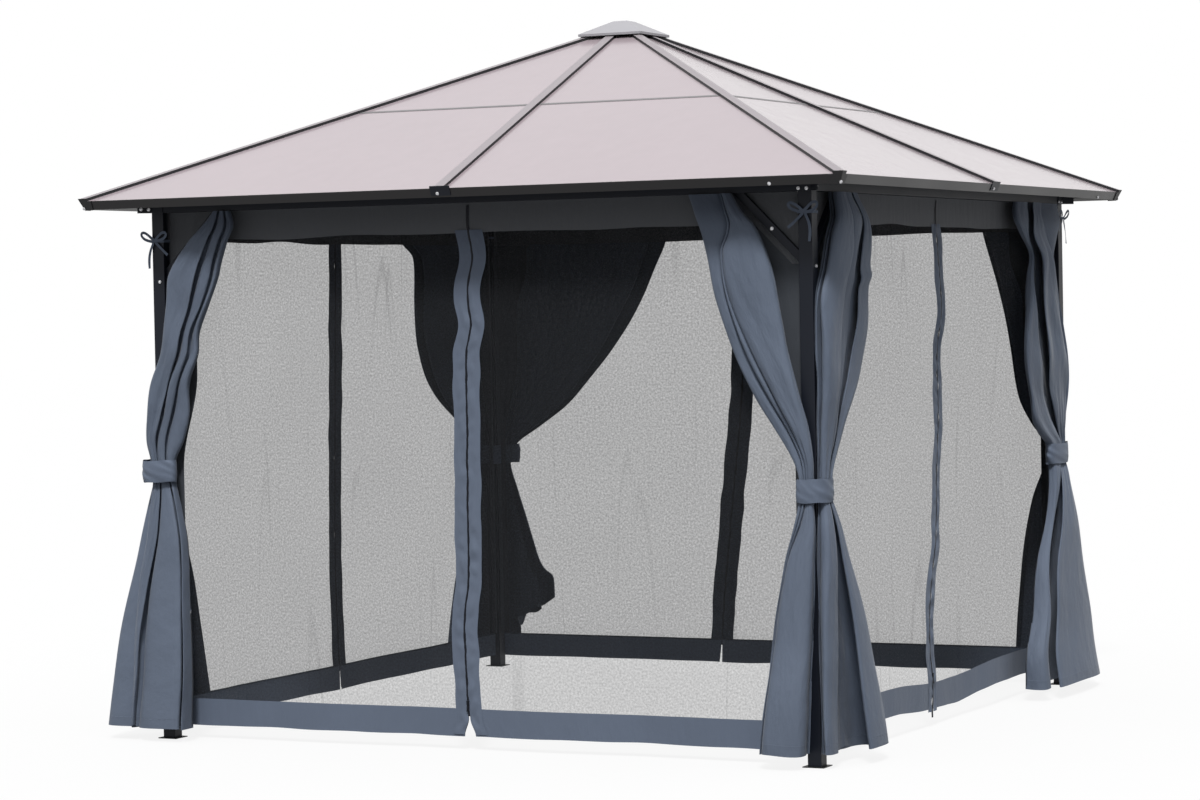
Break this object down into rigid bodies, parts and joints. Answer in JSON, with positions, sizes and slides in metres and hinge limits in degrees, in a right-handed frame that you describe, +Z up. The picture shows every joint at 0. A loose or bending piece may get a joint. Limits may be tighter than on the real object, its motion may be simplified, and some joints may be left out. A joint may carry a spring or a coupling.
{
  "type": "garden gazebo",
  "caption": "Square hardtop garden gazebo with a hipped panel roof and vent cap on slim posts, with zipped net walls and tied curtains.",
  "frame": {"origin": "on the ground, under the middle of the roof", "axes": "+Z up, -Y out of the front side (the large side in the picture), +X to its right"},
  "size_m": [3.0216, 3.0216, 2.6671],
  "materials": {
    "frame_paint": "satin dark grey powder coat",
    "foot_paint": "satin black powder coat, worn at the edges",
    "fascia_paint": "satin black powder coat",
    "corner_plastic": "moulded black",
    "rafter_finish": "light grey on the caps, dark below",
    "strip_finish": "light grey",
    "panel_sheet": "fluted twin-wall sheet, pale tint",
    "crown_finish": "pale grey",
    "curtain_cloth": "slate grey polyester weave",
    "net_cloth": "fine dark mesh"
  },
  "bodies": {
    "root": {"post_front_right": "frame_paint", "base_plate_front_right": "foot_paint", "post_back_right": "frame_paint", "base_plate_back_right": "foot_paint", "post_back_left": "frame_paint", "base_plate_back_left": "foot_paint", "post_front_left": "frame_paint", "base_plate_front_left": "foot_paint", "ring_beam_front": "frame_paint", "fascia_front": "fascia_paint", "roof_panels_front": "panel_sheet", "net_wall_front": "net_cloth", "ring_beam_right": "frame_paint", "fascia_right": "fascia_paint", "roof_panels_right": "panel_sheet", "net_wall_right": "net_cloth", "ring_beam_back": "frame_paint", "fascia_back": "fascia_paint", "roof_panels_back": "panel_sheet", "net_wall_back": "net_cloth", "ring_beam_left": "frame_paint", "fascia_left": "fascia_paint", "roof_panels_left": "panel_sheet", "net_wall_left": "net_cloth", "post_heads": "frame_paint", "rafter_brackets": "frame_paint", "corner_braces": "frame_paint", "eave_corner_caps": "corner_plastic", "hip_rafters": "rafter_finish", "middle_rafters": "rafter_finish", "panel_joint_strips": "strip_finish", "crown_hub": "frame_paint", "crown_cap": "crown_finish", "curtain_front_right": "curtain_cloth", "curtain_front_left": "curtain_cloth", "curtain_right_front": "curtain_cloth", "curtain_right_back": "curtain_cloth", "curtain_back_right": "curtain_cloth", "curtain_back_left": "curtain_cloth", "curtain_left_back": "curtain_cloth", "curtain_left_front": "curtain_cloth", "tie_bands": "curtain_cloth"}
  },
  "joints": []
}
